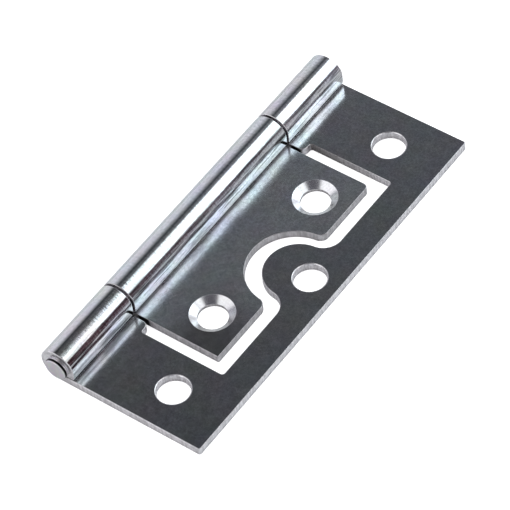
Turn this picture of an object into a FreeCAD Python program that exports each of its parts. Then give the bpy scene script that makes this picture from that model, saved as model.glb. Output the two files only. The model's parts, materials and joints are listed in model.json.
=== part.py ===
import FreeCAD
import Part
import math
import os

# A pressed steel flush hinge, closed and lying on its back.
# X runs from the barrel to the front edge of the outer leaf, Y along the pin, Z up.
# The origin is under the middle of the hinge. All lengths are in millimetres, angles in degrees.

# Overall size, without the pin's heads
overall_length = 75.0
overall_width = 31.6

# Sheet and pin
sheet = 1.6
pin_radius = 1.75
running_clearance = 0.05
pin_end_play = 0.03
pin_head_radius = 2.10
pin_head_height = 0.75
pin_head_round = 0.25

# Rolled knuckles
knuckle_gap = 0.45
seam_gap = 0.08
lip_inner_angle = -52.0
knuckle_rim_bevel = 0.20

# Outer leaf: the window that the inner leaf lies in, and the tongue that stands into it
front_rim = 5.65
window_length = 47.2
window_corner = 0.5
shoulder_reach = 6.1
shoulder_corner = 1.2
shoulder_root = 0.4
tongue_radius = 5.8
tongue_inset = 8.0
tongue_fillet = 3.4

# Inner leaf: its clearance in the window, and the notch round the tongue
front_clearance = 2.8
end_clearance = 2.45
near_corner = 0.3
far_corner = 1.0
notch_clearance = 2.1
notch_shift = 0.95
notch_corner = 1.6

# Screw holes
end_hole_inset = 10.65
end_hole_spacing = 60.4
middle_hole_inset = 5.4
plain_hole_radius = 2.85
plain_rim_draw = 0.25
sunk_hole_inset = 14.6
sunk_hole_spacing = 28.74
sunk_hole_radius = 2.6
sunk_rim_radius = 4.03
sunk_depth = 1.12

# Rounding that shearing leaves on the upper front edge
front_edge_round = 0.25

# Drawing aids: how far a cutting shape runs past the sheet, an angle on the back of the roll
# that its arcs pass through, and how closely an edge is matched to its place
cutter_margin = 1.0
roll_back_angle = 120.0
match = 1e-4

# Places worked out from the sizes above
knuckle_bore = pin_radius + running_clearance
knuckle_radius = knuckle_bore + sheet
front_x = overall_width / 2
axis_x = knuckle_radius - overall_width / 2
axis_z = knuckle_radius
half_length = overall_length / 2
half_window = window_length / 2
half_inner = half_window - end_clearance
half_span = half_inner + knuckle_gap
window_x = front_x - front_rim
inner_front_x = window_x - front_clearance
tongue_x = front_x - tongue_inset
notch_radius = tongue_radius + notch_clearance
notch_x = tongue_x - notch_shift

beyond_barrel = -front_x - cutter_margin

UP = FreeCAD.Vector(0, 0, 1)
ALONG = FreeCAD.Vector(0, 1, 0)
MIDDLE = FreeCAD.Vector(0, 0, 0)


def line(start, end):
    return Part.makeLine(start, end)


def arc(start, middle, end):
    return Part.Arc(start, middle, end).toShape()


def corner_arc(start, corner, end, centre, radius):
    """Arc round a centre, bulging towards the corner that it rounds off."""
    outward = (corner - centre).normalize()
    return arc(start, centre + outward * radius, end)


def section_point(radius, angle):
    """Point round the pin at a radius and an angle, where 0 points to the front and 90 up."""
    turn = math.radians(angle)
    return FreeCAD.Vector(axis_x + radius * math.cos(turn), 0, axis_z + radius * math.sin(turn))


def rolled_section(front):
    """Section of a leaf with its edge rolled up, round and down to the leaf's upper face."""
    lip_height = sheet + seam_gap - axis_z
    lip_outer_angle = math.degrees(math.asin(lip_height / knuckle_radius))
    lip_outer = section_point(knuckle_radius, lip_outer_angle)
    lip_inner = section_point(knuckle_bore, lip_inner_angle)
    bore_middle = section_point(knuckle_bore, roll_back_angle)
    bore_start = FreeCAD.Vector(axis_x, 0, sheet)
    underside = FreeCAD.Vector(axis_x, 0, 0)
    front_low = FreeCAD.Vector(front, 0, 0)
    front_high = FreeCAD.Vector(front, 0, sheet)
    edges = [
        line(front_low, front_high),
        line(front_high, bore_start),
        arc(bore_start, bore_middle, lip_inner),
        line(lip_inner, lip_outer),
        arc(lip_outer, section_point(knuckle_radius, roll_back_angle), underside),
        line(underside, front_low),
    ]
    return Part.Face(Part.Wire(edges))


def rolled_strip(section, start_y, end_y):
    section.translate(ALONG * start_y)
    return section.extrude(ALONG * (end_y - start_y))


def mirrored(edges):
    return [edge.mirror(MIDDLE, ALONG) for edge in edges]


def prism(edges):
    """Upright prism through the whole height of the hinge, from a closed outline of edges."""
    height = 2 * knuckle_radius
    wire = Part.Wire(Part.__sortEdges__(edges))
    face = Part.Face(wire)
    face.translate(UP * -cutter_margin)
    return face.extrude(UP * (height + 2 * cutter_margin))


def flat(x, y):
    return FreeCAD.Vector(x, y, 0)


def rounded_path(start, corners, end):
    """Straight edges from start to end by way of square corners, each rounded by its own radius."""
    stops = [start] + [corner for corner, radius in corners] + [end]
    edges = []
    here = start
    for number, (corner, radius) in enumerate(corners, 1):
        back = (stops[number - 1] - corner).normalize() * radius
        onward = (stops[number + 1] - corner).normalize() * radius
        edges.append(line(here, corner + back))
        here = corner + onward
        edges.append(corner_arc(corner + back, corner, here, corner + back + onward, radius))
    edges.append(line(here, end))
    return edges


def s_curve(edge_x, centre_x, radius, blend):
    """Edges of one half of a round tongue or notch, from the straight edge to the Y = 0 line.

    The blend arc joins the straight edge at edge_x to the circle round (centre_x, 0)."""
    blend_x = edge_x - blend
    blend_y = -math.sqrt((radius + blend) ** 2 - (blend_x - centre_x) ** 2)
    blend_centre = flat(blend_x, blend_y)
    circle_centre = flat(centre_x, 0)
    toward = (blend_centre - circle_centre).normalize()
    tangent = circle_centre + toward * radius
    start = flat(edge_x, blend_y)
    crown = flat(centre_x - radius, 0)
    halfway = (start + tangent) * 0.5
    side = (tangent + crown) * 0.5
    blend_edge = corner_arc(start, halfway, tangent, blend_centre, blend)
    circle_edge = corner_arc(tangent, side, crown, circle_centre, radius)
    return start, [blend_edge, circle_edge]


def window_prism():
    """What is cut from the outer leaf: the window, and the room for the middle knuckle."""
    step_x = axis_x + shoulder_reach
    blend_start, curve = s_curve(window_x, tongue_x, tongue_radius, tongue_fillet)
    corners = [
        (flat(step_x, -half_span), shoulder_corner),
        (flat(step_x, -half_window), shoulder_root),
        (flat(window_x, -half_window), window_corner),
    ]
    half = rounded_path(flat(beyond_barrel, -half_span), corners, blend_start) + curve
    closing = line(flat(beyond_barrel, -half_span), flat(beyond_barrel, half_span))
    return prism(half + mirrored(half) + [closing])


def inner_prism():
    """The outline of the inner leaf, seen from above."""
    blend_start, curve = s_curve(inner_front_x, notch_x, notch_radius, notch_corner)
    edges = curve + mirrored(curve)
    for side, radius in ((-1, near_corner), (1, far_corner)):
        edge_y = side * half_inner
        corners = [(flat(inner_front_x, edge_y), radius)]
        notch_start = flat(inner_front_x, -side * blend_start.y)
        edges += rounded_path(flat(beyond_barrel, edge_y), corners, notch_start)
    edges.append(line(flat(beyond_barrel, -half_inner), flat(beyond_barrel, half_inner)))
    return prism(edges)


def flared_hole(x, y, radius, rim_radius, depth):
    """Cutter for a plain hole whose upper rim opens in a cone of the given depth."""
    slope = (rim_radius - radius) / depth
    top_radius = rim_radius + slope * cutter_margin
    bore = Part.makeCylinder(radius, sheet + 2 * cutter_margin, flat(x, y) - UP * cutter_margin)
    cone_foot = FreeCAD.Vector(x, y, sheet - depth)
    return bore.fuse(Part.makeCone(radius, top_radius, depth + cutter_margin, cone_foot))


def plain_hole(x, y):
    """Punched hole whose upper rim is drawn in."""
    return flared_hole(x, y, plain_hole_radius, plain_hole_radius + plain_rim_draw, plain_rim_draw)


def sunk_hole(x, y):
    """Hole countersunk from above, with a plain land at the bottom."""
    return flared_hole(x, y, sunk_hole_radius, sunk_rim_radius, sunk_depth)


def knuckle_rim_edges(shape):
    """Outer circle edges at the ends of the knuckles."""
    rims = []
    for edge in shape.Edges:
        curve = edge.Curve
        is_rim = curve.TypeId == "Part::GeomCircle" and abs(curve.Radius - knuckle_radius) < match
        if is_rim and edge.BoundBox.YLength < match:
            rims.append(edge)
    return rims


def front_upper_edge(shape):
    """The long upper edge at the front of the outer leaf."""
    found = []
    for edge in shape.Edges:
        box = edge.BoundBox
        at_front = abs(box.XMin - front_x) < match and abs(box.ZMin - sheet) < match
        if at_front and box.ZLength < match and box.XLength < match:
            found.append(edge)
    return found


def outer_leaf():
    leaf = rolled_strip(rolled_section(front_x), -half_length, half_length).cut(window_prism())
    for side in (-1, 1):
        leaf = leaf.cut(plain_hole(front_x - end_hole_inset, side * end_hole_spacing / 2))
    leaf = leaf.cut(plain_hole(front_x - middle_hole_inset, 0))
    leaf = leaf.makeFillet(front_edge_round, front_upper_edge(leaf))
    return leaf.makeChamfer(knuckle_rim_bevel, knuckle_rim_edges(leaf))


def inner_leaf():
    section = rolled_section(inner_front_x)
    leaf = rolled_strip(section, -half_inner, half_inner).common(inner_prism())
    for side in (-1, 1):
        leaf = leaf.cut(sunk_hole(front_x - sunk_hole_inset, side * sunk_hole_spacing / 2))
    return leaf.makeChamfer(knuckle_rim_bevel, knuckle_rim_edges(leaf))


def pin_head(side):
    """Low head with a rounded rim, peened over outside one end knuckle."""
    foot = FreeCAD.Vector(axis_x, side * (half_length + pin_end_play), axis_z)
    head = Part.makeCylinder(pin_head_radius, pin_head_height, foot, ALONG * side)
    outer_y = foot.y + side * pin_head_height
    rim = [edge for edge in head.Edges if abs(edge.BoundBox.Center.y - outer_y) < match]
    return head.makeFillet(pin_head_round, rim)


def hinge_pin():
    """Plain rod through the three knuckles, with a head at each end."""
    reach = half_length + pin_end_play
    rod = Part.makeCylinder(pin_radius, 2 * reach, FreeCAD.Vector(axis_x, -reach, axis_z), ALONG)
    return rod.fuse([pin_head(-1), pin_head(1)])


def only_solid(shape):
    """The single solid that a piece must be."""
    if len(shape.Solids) != 1:
        raise ValueError("a piece came out as %d solids" % len(shape.Solids))
    return shape.Solids[0]


def main():
    os.makedirs("parts", exist_ok=True)
    pieces = {
        "outer_leaf": outer_leaf(),
        "inner_leaf": inner_leaf(),
        "hinge_pin": hinge_pin(),
    }
    for name, shape in pieces.items():
        solid = only_solid(shape)
        solid.exportStep("parts/%s.step" % name)
        print(name, "volume %.1f mm3" % solid.Volume, "valid", solid.isValid())


main()
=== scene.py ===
import json
import math

import bmesh
import bpy
from mathutils import Matrix, Vector, geometry


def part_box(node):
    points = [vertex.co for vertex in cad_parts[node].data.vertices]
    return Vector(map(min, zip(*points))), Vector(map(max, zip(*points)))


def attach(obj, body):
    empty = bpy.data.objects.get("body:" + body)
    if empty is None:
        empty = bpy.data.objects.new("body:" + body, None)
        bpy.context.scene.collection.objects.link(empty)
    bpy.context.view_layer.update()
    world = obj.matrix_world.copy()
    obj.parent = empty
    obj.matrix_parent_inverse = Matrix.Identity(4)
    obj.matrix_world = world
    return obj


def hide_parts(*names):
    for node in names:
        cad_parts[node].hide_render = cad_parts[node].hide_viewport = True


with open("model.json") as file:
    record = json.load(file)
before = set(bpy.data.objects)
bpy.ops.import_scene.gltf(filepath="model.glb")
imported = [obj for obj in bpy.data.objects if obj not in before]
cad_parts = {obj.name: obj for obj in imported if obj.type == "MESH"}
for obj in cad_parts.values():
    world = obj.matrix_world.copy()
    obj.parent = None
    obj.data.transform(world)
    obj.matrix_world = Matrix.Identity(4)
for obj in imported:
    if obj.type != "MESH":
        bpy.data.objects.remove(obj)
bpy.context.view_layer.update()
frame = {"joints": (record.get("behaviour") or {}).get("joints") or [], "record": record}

# Lengths are in millimetres and angles in degrees, until MM and math.radians turn them into
# metres and radians
MM = 0.001

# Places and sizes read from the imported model
mounts = {mount["name"]: mount for mount in frame["record"]["mounts"]}
hinge_axis = Vector(frame["joints"][0]["pos_m"]) / MM
axis_x = hinge_axis.x
axis_z = hinge_axis.z
outer_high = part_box("outer_leaf")[1] / MM
inner_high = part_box("inner_leaf")[1] / MM
pin_low, pin_high = (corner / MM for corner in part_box("hinge_pin"))
front_x = outer_high.x
half_length = outer_high.y
half_inner = inner_high.y
inner_front_x = inner_high.x
knuckle_radius = axis_z
end_holes = mounts["outer_end_screws"]
middle_hole = mounts["outer_middle_screw"]
sunk_holes = mounts["inner_screws"]
sheet = end_holes["pos_m"][2] / MM

# Rolled knuckles and the pin with its heads
knuckle_gap = 0.45
seam_gap = 0.08
lip_inner_angle = -64.0
running_clearance = 0.05
knuckle_bore = knuckle_radius - sheet
pin_radius = knuckle_bore - running_clearance
pin_end_play = 0.03
pin_head_radius = (pin_high.z - pin_low.z) / 2
pin_head_round = 0.25

# Window of the outer leaf, with its tongue
front_rim = 5.65
end_clearance = 2.45
shoulder_reach = 6.1
shoulder_corner = 1.2
shoulder_root = 0.4
window_corner = 0.5
tongue_inset = 8.0
tongue_radius = 5.8
tongue_fillet = 3.4
window_x = front_x - front_rim
half_window = half_inner + end_clearance
half_span = half_inner + knuckle_gap
step_x = axis_x + shoulder_reach
tongue_x = front_x - tongue_inset

# Notch and corners of the inner leaf
notch_shift = 0.95
notch_clearance = 2.1
notch_corner = 1.6
near_corner = 0.3
far_corner = 1.0
notch_x = tongue_x - notch_shift
notch_radius = tongue_radius + notch_clearance

# Edges that shearing, punching and tumbling leave
plate_corner = 0.45
lip_corner = 0.35
roll_over = 0.16
tumbled_edge = 0.14
drawn_rim = 0.27
sunk_cone_radius = 3.86
sunk_depth = 0.985
sunk_rim_round = 0.14
sunk_edge = 0.06
pin_shoulder_edge = 0.05

# Least steepness of what counts as sheared: all of a plain edge, but of a countersunk hole's
# edge only the upright land
plain_steepness = 0.0
cone_steepness = 0.9

# How finely curves are drawn
corner_steps = 10
blend_steps = 20
crown_steps = 60
section_steps = 5
circle_steps = 96
roll_steps = 150


def arc(centre, radius, start, sweep, steps):
    """Points on an arc, both ends included."""
    points = []
    for step in range(steps + 1):
        angle = math.radians(start + sweep * step / steps)
        points.append((centre[0] + radius * math.cos(angle), centre[1] + radius * math.sin(angle)))
    return points


def corner_round(before, corner, after, radius):
    """Centre, start angle and sweep of the arc that rounds off a corner."""
    corner, before, after = Vector(corner), Vector(before), Vector(after)
    back = (before - corner).normalized()
    onward = (after - corner).normalized()
    half_angle = back.angle(onward) / 2
    reach = radius / math.tan(half_angle)
    centre = corner + (back + onward).normalized() * (radius / math.sin(half_angle))
    start = corner + back * reach - centre
    end = corner + onward * reach - centre
    start_angle = math.degrees(math.atan2(start.y, start.x))
    sweep = math.degrees(math.atan2(end.y, end.x)) - start_angle
    return centre, start_angle, (sweep + 180) % 360 - 180


def outline(stops):
    """Closed outline through stops, each a corner (x, y, radius) or a list of points."""
    corners = [stop[0] if isinstance(stop, list) else stop[:2] for stop in stops]
    exits = [stop[-1] if isinstance(stop, list) else stop[:2] for stop in stops]
    points = []
    for number, stop in enumerate(stops):
        if isinstance(stop, list):
            points += stop
            continue
        after = corners[(number + 1) % len(stops)]
        centre, start, sweep = corner_round(exits[number - 1], stop[:2], after, stop[2])
        points += arc(centre, stop[2], start, sweep, corner_steps)
    return points


def s_curve(edge_x, centre_x, radius, blend):
    """Points of a round tongue or notch, from above the Y = 0 line to below it."""
    blend_x = edge_x - blend
    blend_y = math.sqrt((radius + blend) ** 2 - (blend_x - centre_x) ** 2)
    meeting = math.degrees(math.atan2(blend_y, blend_x - centre_x))
    upper = arc((blend_x, blend_y), blend, 0, meeting - 180, blend_steps)
    crown = arc((centre_x, 0), radius, meeting, 2 * (180 - meeting), crown_steps)
    lower = [(x, -y) for x, y in reversed(upper)]
    return upper[:-1] + crown + lower[1:]


def circle(x, y, radius):
    """Points round a hole, clockwise, so that the sheet lies on their left."""
    return arc((x, y), radius, 0, -360, circle_steps)[:-1]


def section(corners, radii):
    """Points (out, up) with their normals, along an edge whose inner corners are rounded.

    The section runs clockwise, so that what is outside lies on its left."""
    first, last = Vector(corners[0]), Vector(corners[-1])
    start_run = (Vector(corners[1]) - first).normalized()
    end_run = (last - Vector(corners[-2])).normalized()
    found = [(first, Vector((-start_run.y, start_run.x)))]
    for number, radius in enumerate(radii, 1):
        centre, start, sweep = corner_round(*corners[number - 1:number + 2], radius)
        facing = 1 if sweep < 0 else -1
        for point in arc(centre, radius, start, sweep, section_steps):
            point = Vector(point)
            found.append((point, (point - centre).normalized() * facing))
    found.append((last, Vector((-end_run.y, end_run.x))))
    return found


def sheared_section(upper, lower):
    """Section of a square sheared edge, from the upper face down to the lower one."""
    corners = [(-sheet, sheet), (0, sheet), (0, 0), (-sheet, 0)]
    return section(corners, (upper, lower))[1:-1]


def sunk_section(hole_radius):
    """Section of a countersunk hole, from the upper face down to the lower one."""
    reach = sunk_cone_radius - hole_radius
    far = -reach - sheet
    corners = [(far, sheet), (-reach, sheet), (0, sheet - sunk_depth), (0, 0), (far, 0)]
    return section(corners, (sunk_rim_round, sunk_edge, sunk_edge))[1:-1]


def outward_directions(points):
    """Direction away from the sheet at each point of an outline that has the sheet on its left."""
    directions = []
    count = len(points)
    for number, here in enumerate(points):
        before, after = Vector(points[number - 1]), Vector(points[(number + 1) % count])
        first = (Vector(here) - before).normalized()
        second = (after - Vector(here)).normalized()
        along = (first + second).normalized()
        directions.append(Vector((along.y, -along.x)))
    return directions


# The roll of a leaf's back edge: from straight below the pin, at the foot, to its lip.
# Angles round the pin are 0 to the front and 90 up. Turns are measured from the foot.
foot_angle = 270.0
lip_outer_angle = math.degrees(math.asin((sheet + seam_gap - axis_z) / knuckle_radius))
outer_turn = math.radians(foot_angle - lip_outer_angle)
inner_turn = math.radians(foot_angle - lip_inner_angle)
roll_length = (knuckle_radius + knuckle_bore) / 2 * outer_turn
lip_s = axis_x - roll_length

# Flats of the roll, as angle, depth and half width: the last stretch before the lip everywhere,
# and a slight one on the crown of the near knuckle
lip_flat = (0.0, 0.27, 38.0)
crown_flat = (79.0, 0.050, 22.0)


def flattened(outer, y):
    """How far the roll's outside lies within its circle, and how its slope turns there."""
    for middle, depth, half_width in (lip_flat, crown_flat) if y <= -half_span else (lip_flat,):
        angle = foot_angle - math.degrees(outer) - middle
        if abs(angle) < half_width:
            phase = math.pi / 2 * angle / half_width
            phase_rate = math.pi / 2 / math.radians(half_width)
            slope = depth * math.sin(2 * phase) * phase_rate / knuckle_radius
            return depth * math.cos(phase) ** 2, math.atan(slope)
    return 0, 0


def rolled_place(point):
    """Where a point of the flat blank lies once its edge is rolled."""
    if point.x > axis_x:
        return point.copy()
    share = (axis_x - point.x) / roll_length
    outer, inner = outer_turn * share, inner_turn * share
    radius = knuckle_radius - flattened(outer, point.y)[0]
    outer_x = axis_x - radius * math.sin(outer)
    outer_z = axis_z - radius * math.cos(outer)
    inner_x = axis_x - knuckle_bore * math.sin(inner)
    inner_z = axis_z - knuckle_bore * math.cos(inner)
    depth = point.z / sheet
    x = outer_x + (inner_x - outer_x) * depth
    z = outer_z + (inner_z - outer_z) * depth
    return Vector((x, point.y, z))


def rolled_direction(normal, point):
    """A direction of the flat blank at a point, once its edge is rolled."""
    angle = outer_turn * max(axis_x - point.x, 0) / roll_length
    angle += flattened(angle, point.y)[1] * (1 - point.z / sheet)
    across = Vector((math.cos(angle), 0, -math.sin(angle)))
    through = Vector((math.sin(angle), 0, math.cos(angle)))
    return across * normal.x + Vector((0, normal.y, 0)) + through * normal.z


def edge_strips(bm, boundaries, normal_layer, sheared_layer):
    """Rings of vertices down every boundary's edge, joined by faces."""
    all_rings = []
    for points, profile, least_steep in boundaries:
        directions = outward_directions(points)
        rings = []
        for offset, facing in profile:
            ring = []
            for (x, y), out in zip(points, directions):
                vert = bm.verts.new((x + out.x * offset.x, y + out.y * offset.x, offset.y))
                vert[normal_layer] = Vector((out.x * facing.x, out.y * facing.x, facing.y))
                vert[sheared_layer] = facing.x if facing.x > least_steep else 0
                ring.append(vert)
            rings.append(ring)
        for upper, lower in zip(rings, rings[1:]):
            for number in range(len(upper)):
                after = (number + 1) % len(upper)
                bm.faces.new((upper[number], lower[number], lower[after], upper[after]))
        all_rings.append(rings)
    return all_rings


def fill_face(bm, rings, upward):
    """Flat face of the sheet between its outline and its holes."""
    verts = [vert for ring in rings for vert in ring]
    triangles = geometry.tessellate_polygon([[vert.co for vert in ring] for ring in rings])
    for triangle in triangles:
        corner = [verts[number] for number in triangle]
        area = (corner[1].co - corner[0].co).cross(corner[2].co - corner[0].co)
        if (area.z > 0) != upward:
            corner.reverse()
        bm.faces.new(corner)


def rolled_piece(name, boundaries):
    """Makes a leaf: a flat blank with finished edges, whose back edge is then rolled.

    A boundary is its points, the section of its edge, and the least steepness that is sheared."""
    bm = bmesh.new()
    normal_layer = bm.verts.layers.float_vector.new("blank_normal")
    sheared_layer = bm.verts.layers.float.new("sheared")
    blank_layer = bm.verts.layers.float_vector.new("blank")
    all_rings = edge_strips(bm, boundaries, normal_layer, sheared_layer)
    fill_face(bm, [rings[0] for rings in all_rings], True)
    fill_face(bm, [rings[-1] for rings in all_rings], False)
    for step in range(roll_steps):
        cut_x = axis_x - roll_length * step / roll_steps
        everything = bm.verts[:] + bm.edges[:] + bm.faces[:]
        bmesh.ops.bisect_plane(bm, geom=everything, plane_co=(cut_x, 0, 0), plane_no=(1, 0, 0))
    normals = []
    for vert in bm.verts:
        vert[blank_layer] = vert.co * MM
        normals.append(rolled_direction(vert[normal_layer].normalized(), vert.co))
        vert.co = rolled_place(vert.co) * MM
    return finished_piece(name, bm, normals)


def finished_piece(name, bm, normals):
    """Turns a bmesh into an object whose vertices have the normals given."""
    for face in bm.faces:
        face.smooth = True
    mesh = bpy.data.meshes.new(name)
    bm.to_mesh(mesh)
    bm.free()
    mesh.normals_split_custom_set_from_vertices(normals)
    piece = bpy.data.objects.new(name, mesh)
    bpy.context.scene.collection.objects.link(piece)
    return piece


def hole_places(mount):
    """Centres of a pair of holes."""
    x = mount["pos_m"][0] / MM
    half = mount["dims"]["spacing_y_mm"] / 2
    return [(x, -half), (x, half)]


def outer_leaf_piece():
    """The outer leaf: end knuckles, window with a tongue, and three plain holes."""
    stops = [
        (lip_s, -half_length, lip_corner),
        (front_x, -half_length, plate_corner),
        (front_x, half_length, plate_corner),
        (lip_s, half_length, lip_corner),
        (lip_s, half_span, lip_corner),
        (step_x, half_span, shoulder_corner),
        (step_x, half_window, shoulder_root),
        (window_x, half_window, window_corner),
        s_curve(window_x, tongue_x, tongue_radius, tongue_fillet),
        (window_x, -half_window, window_corner),
        (step_x, -half_window, shoulder_root),
        (step_x, -half_span, shoulder_corner),
        (lip_s, -half_span, lip_corner),
    ]
    boundaries = [(outline(stops), sheared_section(roll_over, tumbled_edge), plain_steepness)]
    punched = sheared_section(drawn_rim, tumbled_edge)
    end_radius = end_holes["dims"]["hole_r_mm"]
    middle_radius = middle_hole["dims"]["r_mm"]
    holes = [circle(x, y, end_radius) for x, y in hole_places(end_holes)]
    holes.append(circle(middle_hole["pos_m"][0] / MM, 0, middle_radius))
    boundaries += [(hole, punched, plain_steepness) for hole in holes]
    return rolled_piece("outer_leaf_plate", boundaries)


def inner_leaf_piece():
    """The inner leaf: the long middle knuckle, a round notch and two countersunk holes."""
    notch = s_curve(inner_front_x, notch_x, notch_radius, notch_corner)
    stops = [
        (lip_s, -half_inner, lip_corner),
        (inner_front_x, -half_inner, near_corner),
        notch[::-1],
        (inner_front_x, half_inner, far_corner),
        (lip_s, half_inner, lip_corner),
    ]
    boundaries = [(outline(stops), sheared_section(roll_over, tumbled_edge), plain_steepness)]
    radius = sunk_holes["dims"]["hole_r_mm"]
    for x, y in hole_places(sunk_holes):
        boundaries.append((circle(x, y, radius), sunk_section(radius), cone_steepness))
    return rolled_piece("inner_leaf_plate", boundaries)


def pin_piece():
    """The pin: a rod with a peened head at each end, turned as rings about its axis."""
    head_y = pin_high.y
    shoulder_y = half_length + pin_end_play
    half = [
        (0, head_y),
        (pin_head_radius, head_y),
        (pin_head_radius, shoulder_y),
        (pin_radius, shoulder_y),
    ]
    corners = half + [(radius, -y) for radius, y in reversed(half)]
    radii = [pin_head_round, pin_shoulder_edge, pin_shoulder_edge]
    profile = section(corners, radii + radii[::-1])
    bm = bmesh.new()
    blank_layer = bm.verts.layers.float_vector.new("blank")
    normals = []
    rings = []
    for point, facing in profile:
        ring = []
        for step in range(circle_steps if point.x > 0 else 1):
            angle = 2 * math.pi * step / circle_steps
            around = Vector((math.cos(angle), 0, math.sin(angle)))
            place = Vector((axis_x, point.y, axis_z)) + around * point.x
            vert = bm.verts.new(place * MM)
            vert[blank_layer] = vert.co
            normals.append(around * facing.x + Vector((0, facing.y, 0)))
            ring.append(vert)
        rings.append(ring)
    for before, after in zip(rings, rings[1:]):
        for step in range(circle_steps):
            onward = (step + 1) % circle_steps
            pairs = [(before, step), (after, step), (after, onward), (before, onward)]
            corner = [ring[number % len(ring)] for ring, number in pairs]
            bm.faces.new(list(dict.fromkeys(corner)))
    bmesh.ops.recalc_face_normals(bm, faces=bm.faces[:])
    return finished_piece("pin_rod", bm, normals)


class Nodes:
    """Adds nodes to a tree, with their inputs given as values or as other nodes' outputs."""

    def __init__(self, tree):
        self.tree = tree

    def add(self, kind, **settings):
        node = self.tree.nodes.new("ShaderNode" + kind)
        for name, value in settings.items():
            setattr(node, name, value)
        return node

    def put(self, socket, value):
        if isinstance(value, bpy.types.NodeSocket):
            self.tree.links.new(value, socket)
        else:
            socket.default_value = value

    def put_all(self, node, **values):
        """Sets inputs by name, where an underscore stands for a space."""
        for name, value in values.items():
            self.put(node.inputs[name.replace("_", " ")], value)

    def attribute(self, name, output):
        return self.add("Attribute", attribute_name=name).outputs[output]

    def split(self, vector):
        """The three parts of a vector."""
        node = self.add("SeparateXYZ")
        self.put(node.inputs[0], vector)
        return node.outputs

    def math(self, operation, *values):
        node = self.add("Math", operation=operation)
        for socket, value in zip(node.inputs, values):
            self.put(socket, value)
        return node.outputs[0]

    def times(self, first, *others):
        """Product of one or more values."""
        for other in others:
            first = self.math("MULTIPLY", first, other)
        return first

    def plus(self, first, second):
        return self.math("ADD", first, second)

    def minus(self, first, second):
        return self.math("SUBTRACT", first, second)

    def ramp(self, value, start, end, low=0.0, high=1.0):
        """Passes smoothly from low to high while the value goes from start to end."""
        node = self.add("MapRange", interpolation_type="SMOOTHSTEP")
        self.put_all(node, Value=value, From_Min=start, From_Max=end, To_Min=low, To_Max=high)
        return node.outputs["Result"]

    def band(self, value, low, high, soft):
        """One between two limits and zero outside them, with soft sides."""
        rise = self.ramp(value, low - soft, low + soft)
        fall = self.ramp(value, high - soft, high + soft, 1.0, 0.0)
        return self.times(rise, fall)

    def window(self, value, low, high, soft):
        """Like band, but its limits may be other nodes' outputs."""
        rise = self.ramp(self.minus(value, low), -soft, soft)
        fall = self.ramp(self.minus(value, high), -soft, soft, 1.0, 0.0)
        return self.times(rise, fall)

    def vector(self, operation, *values):
        node = self.add("VectorMath", operation=operation)
        for socket, value in zip(node.inputs, values):
            self.put(socket, value)
        return node.outputs["Value" if operation in ("DOT_PRODUCT", "LENGTH") else "Vector"]

    def scaled(self, vector, factor):
        output = self.vector("SCALE", vector)
        self.put_all(output.node, Scale=factor)
        return output

    def noise(self, vector, fineness, detail=2.0, roughness=0.5):
        """Value and colour of a noise with features of 1 / fineness metres."""
        node = self.add("TexNoise")
        self.put_all(node, Vector=vector, Scale=fineness, Detail=detail, Roughness=roughness)
        return node.outputs["Fac"], node.outputs["Color"]

    def mix(self, share, first, second, blend="MIX"):
        """Mixes two colours."""
        node = self.add("Mix", data_type="RGBA", blend_type=blend)
        sockets = {socket.identifier: socket for socket in node.inputs}
        self.put(sockets["Factor_Float"], share)
        self.put(sockets["A_Color"], first)
        self.put(sockets["B_Color"], second)
        return next(socket for socket in node.outputs if socket.identifier == "Result_Color")

    def tinted(self, first, second):
        """Product of two colours."""
        return self.mix(1.0, first, second, "MULTIPLY")

    def lay(self, above, below, *shares):
        """Lays one colour over another, to the product of the shares."""
        return self.mix(self.times(*shares), below, above)

    def bump(self, height):
        """Normal of a relief whose height is in metres."""
        node = self.add("Bump")
        self.put_all(node, Distance=1.0, Height=height)
        return node.outputs["Normal"]


def grey(level, red=1.0, green=1.0, blue=1.0):
    """A grey, or a tint of it when its parts are weighted."""
    return (level * red, level * green, level * blue, 1.0)


def new_material(name):
    """A new material, with its nodes and its shader."""
    material = bpy.data.materials.new(name)
    material.use_nodes = True
    return material, Nodes(material.node_tree), material.node_tree.nodes["Principled BSDF"]


# Zinc plate. Places on the blank are (s, y, height), and s runs across it from the rolled edge.
# Limits are where a change starts and where it ends. A fineness is in features per metre.
# A stretch weighs the three directions of the blank, and a small weight draws a noise out.
outer_zinc = (0.655, 0.665, 0.69)
inner_zinc = (0.645, 0.665, 0.705)
roll_limits = ((axis_x + 1.5) * MM, (axis_x - 1.5) * MM)
sheared_limits = (0.12, 0.5)
fine_detail = 3
noise_middle = 0.5

# Broad tints and fine speckle, which grows stronger towards the far end
tint_fineness = 210
tint_spread = (0.22, 0.22, 0.26)
tint_least = (0.89, 0.89, 0.87)
speckle_fineness = 2300
speckle_roughness = 0.65
speckle_limits = (0.28, 0.72)
speckle_most = 1.12
speckle_y_limits = (-30 * MM, 15 * MM)
speckle_least = (0.92, 0.82)

# Lines along the roll near its lip, and painted shade on the rim of the lip beside the seam
line_stretch = (1.0, 0.045, 1.0)
line_fineness = 2900
line_roughness = 0.6
near_lip_limits = ((lip_s + 4.6) * MM, (lip_s + 3.0) * MM)
line_limits = (0.40, 0.52)
line_darkest = 0.40
lip_rim_shade_limits = ((lip_s + 1.9) * MM, (lip_s + 1.2) * MM)
lip_rim_shade = 0.84

# The dull near corner of the inner leaf, and the bright cones of its holes
dull_y_limits = (-6 * MM, -19 * MM)
dull_s_limits = (-5.5 * MM, 2 * MM)
dull_shade = grey(0.46, 1.03, 0.98, 0.97)
cone_softness = 0.1
cone_share = 0.45
cone_colour = grey(0.88, 0.985, 0.985, 1.0)
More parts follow.
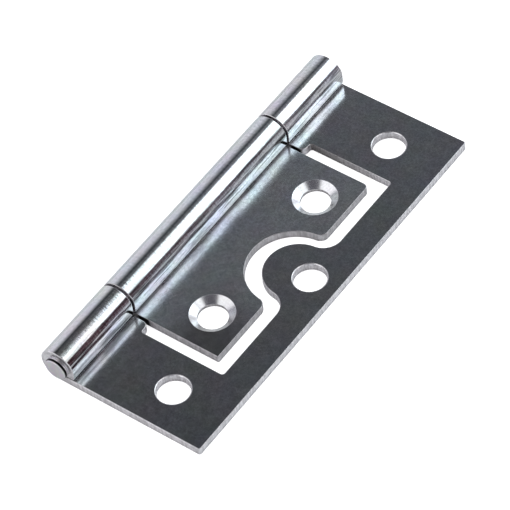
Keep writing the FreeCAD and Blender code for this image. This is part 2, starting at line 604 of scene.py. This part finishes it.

# Painted shade in the crevice beside the seam, which is also rougher there: grey, wide and strong at
# the near end, brownish, narrower and fainter elsewhere, with patches and darker lines in it
crevice_front_y_limits = (-22.5 * MM, -20.5 * MM)
crevice_front = ((axis_x + 4.8) * MM, (axis_x + 4.0) * MM)
crevice_softness = 1.0 * MM
crevice_back_limits = ((axis_x + 1.0) * MM, (axis_x + 2.0) * MM)
patch_stretch = (1.0, 0.12, 1.0)
patch_fineness = 900
patch_limits = (0.30, 0.62)
patch_least = 0.25
crevice_fade_y_limits = (-23 * MM, -15 * MM)
crevice_far_strength = 0.50
crevice_tint_y_limits = (-22 * MM, -10 * MM)
crevice_near_shade = (0.33, 0.335, 0.355, 1.0)
crevice_far_shade = (0.32, 0.295, 0.265, 1.0)
crevice_line_limits = (0.44, 0.54)
crevice_line_darkness = 0.55

# Sheared edges: scored upright, torn at the foot and drawn in at the top
score_stretch = (1.0, 1.0, 0.15)
score_fineness = 3000
score_roughness = 0.6
score_limits = (0.30, 0.70)
score_levels = (0.76, 1.10)
torn_waviness = 0.12
torn_limits = (0.42, 0.54)
torn_level = 0.86
drawn_limits = (0.93, 1.0)
drawn_level = 0.60
outer_edge_tint = grey(1.32, 1.0, 0.965, 0.965)
inner_edge_tint = grey(0.96, 1.03, 0.965, 0.945)

# Painted shade on the far wall of the window, darker towards the barrel
far_wall_half_width = 0.2
far_wall_softness = 0.1
far_wall_s_limits = (step_x * MM, (window_x + 0.5) * MM)
far_wall_back_shade = grey(0.32, 1.0, 0.97, 0.95)
far_wall_front_shade = grey(0.95)

# Painted shade, nearly black, on the edges that face the narrow gap between the leaves beside the
# knuckles
gap_y_margin = 0.1
gap_y_softness = 0.1
gap_back = axis_x + 3.5
gap_front = step_x - 0.3
gap_s_softness = 0.4
gap_shade_colour = grey(0.02)

# Gloss
flat_roughness = 0.155
film_roughness = 0.065
roll_roughness = 0.12
strip_back = axis_x + 2.5
strip_front = axis_x + 6.0
strip_softness = 1.0
strip_roughness = 0.02
cloud_fineness = 700
cloud_roughness = 0.10
edge_roughness = 0.16
crevice_roughness = 0.12

# Relief, whose heights are in metres
grain_fineness = 1500
grain_roughness = 0.6
grain_height = 1.3e-6
stroke_stretch = (0.55, 1.0, 0.55)
stroke_fineness = 2700
stroke_roughness = 0.6
stroke_height = 11e-6
line_height = 3e-6
score_height = 8e-6


class ZincPlate:
    """Bright zinc plate: tinted and speckled, drawn out round the roll, worn on sheared edges, with
    painted shade beside the seam, on the window's far wall and in the gap between the leaves.

    Film is 0 for the outer leaf and 1 for the milkier inner one."""

    def __init__(self, name, colour, film):
        self.material, nodes, shader = new_material(name)
        self.nodes = nodes
        self.colour = colour
        self.film = film
        self.blank = nodes.attribute("blank", "Vector")
        self.s, self.y, self.height = nodes.split(self.blank)
        self.off_middle = nodes.math("ABSOLUTE", self.y)
        self.on_roll = nodes.ramp(self.s, *roll_limits)
        self.on_edge = nodes.ramp(nodes.attribute("sheared", "Fac"), *sheared_limits)
        self.near_lip = nodes.ramp(self.s, *near_lip_limits)
        lengthwise = nodes.vector("MULTIPLY", self.blank, line_stretch)
        self.lines = nodes.noise(lengthwise, line_fineness, roughness=line_roughness)[0]
        upright = nodes.vector("MULTIPLY", self.blank, score_stretch)
        scores = nodes.noise(upright, score_fineness, roughness=score_roughness)[0]
        self.scores = nodes.ramp(scores, *score_limits, *score_levels)
        self.crevice = self.crevice_share()
        base = self.marked(self.plated())
        # Painted shade in the crevice beside the seam, laid over the plate's colour
        base = nodes.lay(self.crevice_shade_colour(), base, self.crevice)
        base = nodes.lay(self.edge_colour(), base, self.on_edge)
        # Painted shade, nearly black, on the edges that face the gap between the leaves
        base = nodes.lay(gap_shade_colour, base, self.gap_shade_share(), self.on_edge)
        nodes.put_all(shader, Metallic=1.0, Base_Color=base)
        nodes.put_all(shader, Roughness=self.roughness(), Normal=nodes.bump(self.relief()))

    def plated(self):
        """The plate's colour with its tints, its speckle, the lines near the lip and painted shade on
        the lip's rim.
        """
        nodes = self.nodes
        tints = nodes.noise(self.blank, tint_fineness, fine_detail)[1]
        tint = nodes.vector("MULTIPLY_ADD", tints, tint_spread, tint_least)
        speckle = nodes.noise(self.blank, speckle_fineness, fine_detail, speckle_roughness)[0]
        least = nodes.ramp(self.y, *speckle_y_limits, *speckle_least)
        speckle = nodes.ramp(speckle, *speckle_limits, least, speckle_most)
        shade = nodes.ramp(self.lines, *line_limits, line_darkest, 1.0)
        # Painted shade: the lip's rim darker beside the seam
        shade = nodes.times(shade, nodes.ramp(self.s, *lip_rim_shade_limits, 1.0, lip_rim_shade))
        shade = nodes.plus(1.0, nodes.times(self.near_lip, nodes.minus(shade, 1.0)))
        return nodes.scaled(nodes.vector("MULTIPLY", tint, self.colour), nodes.times(speckle, shade))

    def marked(self, base):
        """Adds the inner leaf's dull corner and the bright cones of its holes."""
        nodes = self.nodes
        dull = [nodes.ramp(self.y, *dull_y_limits), nodes.ramp(self.s, *dull_s_limits), self.film]
        base = nodes.lay(nodes.tinted(base, dull_shade), base, *dull)
        sunk_x, sunk_y = hole_places(sunk_holes)[1]
        from_hole = nodes.add("CombineXYZ")
        nodes.put_all(from_hole, X=nodes.minus(self.s, sunk_x * MM))
        nodes.put_all(from_hole, Y=nodes.minus(self.off_middle, sunk_y * MM))
        distance = nodes.vector("LENGTH", from_hole.outputs[0])
        outside = (sunk_cone_radius + cone_softness) * MM
        inside = (sunk_cone_radius - cone_softness) * MM
        in_cone = nodes.ramp(distance, outside, inside)
        return nodes.lay(cone_colour, base, in_cone, self.film * cone_share)

    def crevice_share(self):
        """How far a place lies in the crevice beside the seam, where shade is painted and the plate is
        rougher.
        """
        nodes = self.nodes
        front = nodes.ramp(self.y, *crevice_front_y_limits, *crevice_front)
        from_front = nodes.ramp(self.s, front, nodes.minus(front, crevice_softness))
        from_back = nodes.ramp(self.s, *crevice_back_limits)
        stretched = nodes.vector("MULTIPLY", self.blank, patch_stretch)
        patches = nodes.noise(stretched, patch_fineness, fine_detail)[0]
        patches = nodes.ramp(patches, *patch_limits, patch_least, 1.0)
        strength = nodes.ramp(self.y, *crevice_fade_y_limits, 1.0, crevice_far_strength)
        return nodes.times(from_front, from_back, patches, strength)

    # Colour of the painted shade in the crevice, with darker lines in it
    def crevice_shade_colour(self):
        nodes = self.nodes
        far = nodes.ramp(self.y, *crevice_tint_y_limits)
        colour = nodes.mix(far, crevice_near_shade, crevice_far_shade)
        dark = nodes.mix(crevice_line_darkness, colour, grey(0.0))
        return nodes.mix(nodes.ramp(self.lines, *crevice_line_limits), dark, colour)

    def edge_colour(self):
        """Colour of the sheared edges, by the share of the sheet's height, with painted shade on the
        window's far wall.
        """
        nodes = self.nodes
        share = nodes.math("DIVIDE", self.height, sheet * MM)
        wavy = nodes.plus(share, nodes.times(self.scores, torn_waviness))
        torn = nodes.ramp(wavy, *torn_limits, torn_level, 1.0)
        drawn = nodes.ramp(share, *drawn_limits, 1.0, drawn_level)
        tint = nodes.mix(self.film, outer_edge_tint, inner_edge_tint)
        edge = nodes.tinted((*self.colour, 1.0), tint)
        wall_start = (half_window - far_wall_half_width) * MM
        wall_end = (half_window + far_wall_half_width) * MM
        far_wall = nodes.band(self.y, wall_start, wall_end, far_wall_softness * MM)
        shade = nodes.mix(nodes.ramp(self.s, *far_wall_s_limits), far_wall_back_shade, far_wall_front_shade)
        # Painted shade on the window's far wall, darker towards the barrel
        edge = nodes.lay(nodes.tinted(edge, shade), edge, far_wall)
        return nodes.scaled(edge, nodes.times(self.scores, torn, drawn))

    def gap_shade_share(self):
        """How far a place faces the narrow gap between the leaves, where shade is painted."""
        start = (half_inner - gap_y_margin) * MM
        end = (half_span + gap_y_margin) * MM
        beside = self.nodes.band(self.off_middle, start, end, gap_y_softness * MM)
        within = self.nodes.band(self.s, gap_back * MM, gap_front * MM, gap_s_softness * MM)
        return self.nodes.times(beside, within)

    def roughness(self):
        nodes = self.nodes
        on_flat = flat_roughness + film_roughness * self.film
        rough = nodes.ramp(self.on_roll, 0.0, 1.0, on_flat, roll_roughness)
        strip = nodes.band(self.s, strip_back * MM, strip_front * MM, strip_softness * MM)
        rough = nodes.math("MULTIPLY_ADD", strip, strip_roughness, rough)
        clouds = nodes.noise(self.blank, cloud_fineness, fine_detail)[0]
        clouds = nodes.minus(clouds, noise_middle)
        rough = nodes.plus(rough, nodes.times(clouds, cloud_roughness))
        rough = nodes.plus(rough, nodes.times(self.on_edge, edge_roughness))
        return nodes.plus(rough, nodes.times(self.crevice, crevice_roughness))

    def relief(self):
        """Grain on the flats, strokes round the roll, lines near its lip, scores on the edges."""
        nodes = self.nodes
        grain = nodes.noise(self.blank, grain_fineness, fine_detail, grain_roughness)[0]
        stretched = nodes.vector("MULTIPLY", self.blank, stroke_stretch)
        strokes = nodes.noise(stretched, stroke_fineness, fine_detail, stroke_roughness)[0]
        relief = nodes.times(grain, grain_height)
        for mark, height in (
            (nodes.times(strokes, self.on_roll), stroke_height),
            (nodes.times(self.lines, self.near_lip), line_height),
            (nodes.times(self.scores, self.on_edge), score_height),
        ):
            relief = nodes.math("MULTIPLY_ADD", mark, height, relief)
        return relief


# The pin: a pale worn face, and painted shade, nearly black, round the side of its head next to the
# face
pin_colour = (0.74, 0.715, 0.76)
head_shade_radius_limits = ((pin_head_radius - 0.13) * MM, (pin_head_radius - 0.02) * MM)
head_shade_start = (half_length + 0.25) * MM
head_shade_end = (half_length + 0.70) * MM
head_shade_softness = 0.05 * MM
head_shade_colour = (0.012, 0.012, 0.013, 1.0)
pin_tint_fineness = 900
pin_tint_spread = (0.30, 0.34, 0.30)
pin_tint_least = (0.85, 0.83, 0.85)
pin_cloud_fineness = 2500
pin_cloud_roughness = 0.16
pin_least_roughness = 0.26
pin_grain_fineness = 1400
pin_grain_roughness = 0.6
pin_grain_height = 1.2e-5


def pin_material(name, colour):
    material, nodes, shader = new_material(name)
    blank = nodes.attribute("blank", "Vector")
    x, y, z = nodes.split(blank)
    off_x = nodes.minus(x, axis_x * MM)
    off_z = nodes.minus(z, axis_z * MM)
    radius = nodes.math("SQRT", nodes.plus(nodes.times(off_x, off_x), nodes.times(off_z, off_z)))
    at_side = nodes.ramp(radius, *head_shade_radius_limits)
    at_head = nodes.band(nodes.math("ABSOLUTE", y), head_shade_start, head_shade_end, head_shade_softness)
    tints = nodes.noise(blank, pin_tint_fineness, fine_detail)[1]
    tint = nodes.vector("MULTIPLY_ADD", tints, pin_tint_spread, pin_tint_least)
    # Painted shade round the side of the head, next to its face
    base = nodes.lay(head_shade_colour, nodes.vector("MULTIPLY", tint, colour), at_side, at_head)
    clouds = nodes.noise(blank, pin_cloud_fineness)[0]
    rough = nodes.math("MULTIPLY_ADD", clouds, pin_cloud_roughness, pin_least_roughness)
    grain = nodes.noise(blank, pin_grain_fineness, fine_detail, pin_grain_roughness)[0]
    relief = nodes.times(grain, pin_grain_height)
    nodes.put_all(shader, Metallic=1.0, Base_Color=base, Roughness=rough, Normal=nodes.bump(relief))
    return material


# Floor, with its half width in metres
floor_reach = 3.0
floor_colour = grey(0.86)
floor_glow = 0.8


def make_floor():
    """White paper, bright enough to leave no shadow on view but shaded in reflections."""
    signs = ((-1, -1), (1, -1), (1, 1), (-1, 1))
    corners = [(x * floor_reach, y * floor_reach, 0) for x, y in signs]
    mesh = bpy.data.meshes.new("floor")
    mesh.from_pydata(corners, [], [(0, 1, 2, 3)])
    floor = bpy.data.objects.new("floor", mesh)
    bpy.context.scene.collection.objects.link(floor)
    material, nodes, shader = new_material("floor")
    seen = nodes.add("LightPath").outputs["Is Camera Ray"]
    nodes.put_all(shader, Base_Color=floor_colour, Roughness=1.0, Specular_IOR_Level=0.0)
    nodes.put_all(shader, Emission_Color=grey(1.0), Emission_Strength=nodes.times(seen, floor_glow))
    mesh.materials.append(material)


# Camera, found from the photograph's straight edges and holes
camera_azimuth = math.radians(42.554)
camera_elevation = math.radians(50.292)
camera_roll = math.radians(-8.362)
camera_distance = 570.0
camera_aim = Vector((-0.935, 0.05, 0.0))
camera_lens = 244.7
sensor_width = 36.0
clip_start = 0.01
toward_camera = Vector((
    math.sin(camera_azimuth) * math.cos(camera_elevation),
    -math.cos(camera_azimuth) * math.cos(camera_elevation),
    math.sin(camera_elevation),
))


def make_camera():
    data = bpy.data.cameras.new("camera")
    data.lens = camera_lens
    data.sensor_width = sensor_width
    data.clip_start = clip_start
    camera = bpy.data.objects.new("camera", data)
    bpy.context.scene.collection.objects.link(camera)
    camera.location = (camera_aim + toward_camera * camera_distance) * MM
    level = (-toward_camera).to_track_quat("-Z", "Y").to_matrix()
    camera.rotation_mode = "QUATERNION"
    camera.rotation_quaternion = (level @ Matrix.Rotation(camera_roll, 3, "Z")).to_quaternion()
    bpy.context.scene.camera = camera


# Studio. Around is the angle about the Y axis, 0 to the front and 90 up. Along is the share of a
# direction that points to +Y. Bands are their limits and how soft their sides are.
tent = grey(1.30)

# Bright panel above the front, brighter and reaching further over for the far end
panel_bottom = 40.0
panel_softness = 5.0
panel_top_along = (0.428, 0.446)
panel_top_levels = (79.0, 94.5)
panel_level_along = (0.42, 0.50)
panel_near = grey(1.45)
panel_far = grey(2.90, 0.90, 1.0, 1.03)

# Sides of the tent
left_around = (118, 142)
left_along = (-0.30, -0.14)
left_colour = grey(0.86, 0.98, 0.965, 1.04)
low_left_around = (166, 180)
low_left_colour = grey(1.0, 0.98, 0.97, 1.03)
far_end_along = (0.88, 0.95)
far_end_colour = grey(0.85, 0.99, 0.99, 1.02)
near_side_around = (-60, 60, 10)
near_side_along = (-0.36, -0.50)
near_side_colour = grey(0.50, 0.98, 0.98, 1.03)

# Grey roof that the edges of the sheet mirror, and the dim top that the flats mirror from above
roof_around = (98, 150, 10)
roof_along = (-0.22, 0.30, 0.06)
top_around = (68, 112, 8)
top_along = (-0.30, 0.24, 0.06)
roof_colour = grey(0.42, 0.98, 0.99, 1.03)

# Dark opening behind, that the flat leaves mirror, with a paler side next to the panel
dark_end_around = (117, 156)
dark_along = (0.24, 0.74, 0.06)
near_dark = grey(0.036, 0.94, 0.99, 1.10)
middle_dark = grey(0.072, 0.92, 1.0, 1.10)
far_dark = grey(0.090, 0.93, 0.99, 1.12)
middle_dark_along = (0.425, 0.465)
far_dark_along = (0.480, 0.515)
paler_along = (0.430, 0.490)
paler_near = grey(0.085)
paler_far = grey(0.24, 0.98, 0.99, 1.06)
paler_around = (115, 106)

# Grey ground at the front, with a dark patch over it that is reddish for the near end
ground_along = (0.30, 0.66, 0.05)
ground_around = (-40, 34, 6)
ground_colour = grey(0.68, 0.98, 0.98, 1.05)
low_top = 41.5
low_softness = 3.0
low_bottom_along = (0.415, 0.505)
low_bottom_levels = (-8.0, 26.0)
low_colour_along = (0.43, 0.51)
low_near = grey(0.030, 2.0, 0.55, 0.80)
low_far = grey(0.20, 1.03, 0.95, 1.08)

# Dim round patch on the photograph's side, from its rim to its full strength
patch_rim = math.radians(33)
patch_full = math.radians(22)
patch_colour = grey(0.11, 1.02, 0.96, 1.12)


def make_studio():
    """A white tent with a bright panel and dark openings, painted on the surroundings."""
    world = bpy.data.worlds.new("studio")
    bpy.context.scene.world = world
    world.use_nodes = True
    nodes = Nodes(world.node_tree)
    direction = nodes.add("TexCoord").outputs["Generated"]
    x, along, z = nodes.split(direction)
    around = nodes.math("DEGREES", nodes.math("ARCTAN2", z, x))
    panel_top = nodes.ramp(along, *panel_top_along, *panel_top_levels)
    panel = nodes.window(around, panel_bottom, panel_top, panel_softness)
    panel_colour = nodes.mix(nodes.ramp(along, *panel_level_along), panel_near, panel_far)
    past_panel = nodes.ramp(nodes.minus(around, panel_top), -panel_softness, panel_softness)
    before_end = nodes.ramp(around, *dark_end_around, 1.0, 0.0)
    dark = nodes.mix(nodes.ramp(along, *middle_dark_along), near_dark, middle_dark)
    dark = nodes.mix(nodes.ramp(along, *far_dark_along), dark, far_dark)
    paler = nodes.mix(nodes.ramp(along, *paler_along), paler_near, paler_far)
    dark = nodes.mix(nodes.ramp(around, *paler_around), dark, paler)
    ground_reach = nodes.band(along, *ground_along)
    low_bottom = nodes.ramp(along, *low_bottom_along, *low_bottom_levels)
    low = nodes.window(around, low_bottom, low_top, low_softness)
    low_colour = nodes.mix(nodes.ramp(along, *low_colour_along), low_near, low_far)
    cosine = nodes.vector("DOT_PRODUCT", direction, toward_camera)
    round_patch = nodes.ramp(cosine, math.cos(patch_rim), math.cos(patch_full))
    colour = tent
    for above, *shares in (
        (panel_colour, panel),
        (left_colour, nodes.ramp(around, *left_around), nodes.ramp(along, *left_along)),
        (low_left_colour, nodes.ramp(around, *low_left_around)),
        (far_end_colour, nodes.ramp(along, *far_end_along)),
        (near_side_colour, nodes.band(around, *near_side_around), nodes.ramp(along, *near_side_along)),
        (roof_colour, nodes.band(around, *roof_around), nodes.band(along, *roof_along)),
        (roof_colour, nodes.band(around, *top_around), nodes.band(along, *top_along)),
        (dark, past_panel, before_end, nodes.band(along, *dark_along)),
        (ground_colour, nodes.band(around, *ground_around), ground_reach),
        (low_colour, low, ground_reach),
        (patch_colour, round_patch),
    ):
        colour = nodes.lay(above, colour, *shares)
    nodes.put_all(world.node_tree.nodes["Background"], Color=colour)


outer_plate = ZincPlate("outer_zinc", outer_zinc, 0.0).material
inner_plate = ZincPlate("inner_zinc", inner_zinc, 1.0).material
steel = pin_material("pin_steel", pin_colour)
outer = outer_leaf_piece()
inner = inner_leaf_piece()
pin = pin_piece()
for piece, material, node, body, slot in (
    (outer, outer_plate, "outer_leaf", "outer_leaf", "zinc_plate"),
    (inner, inner_plate, "inner_leaf", "inner_leaf", "zinc_plate"),
    (pin, steel, "hinge_pin", "outer_leaf", "pin_steel"),
):
    piece.data.materials.append(material)
    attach(piece, body)
    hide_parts(node)

make_floor()
make_studio()
make_camera()
bpy.context.scene.view_settings.view_transform = "Standard"
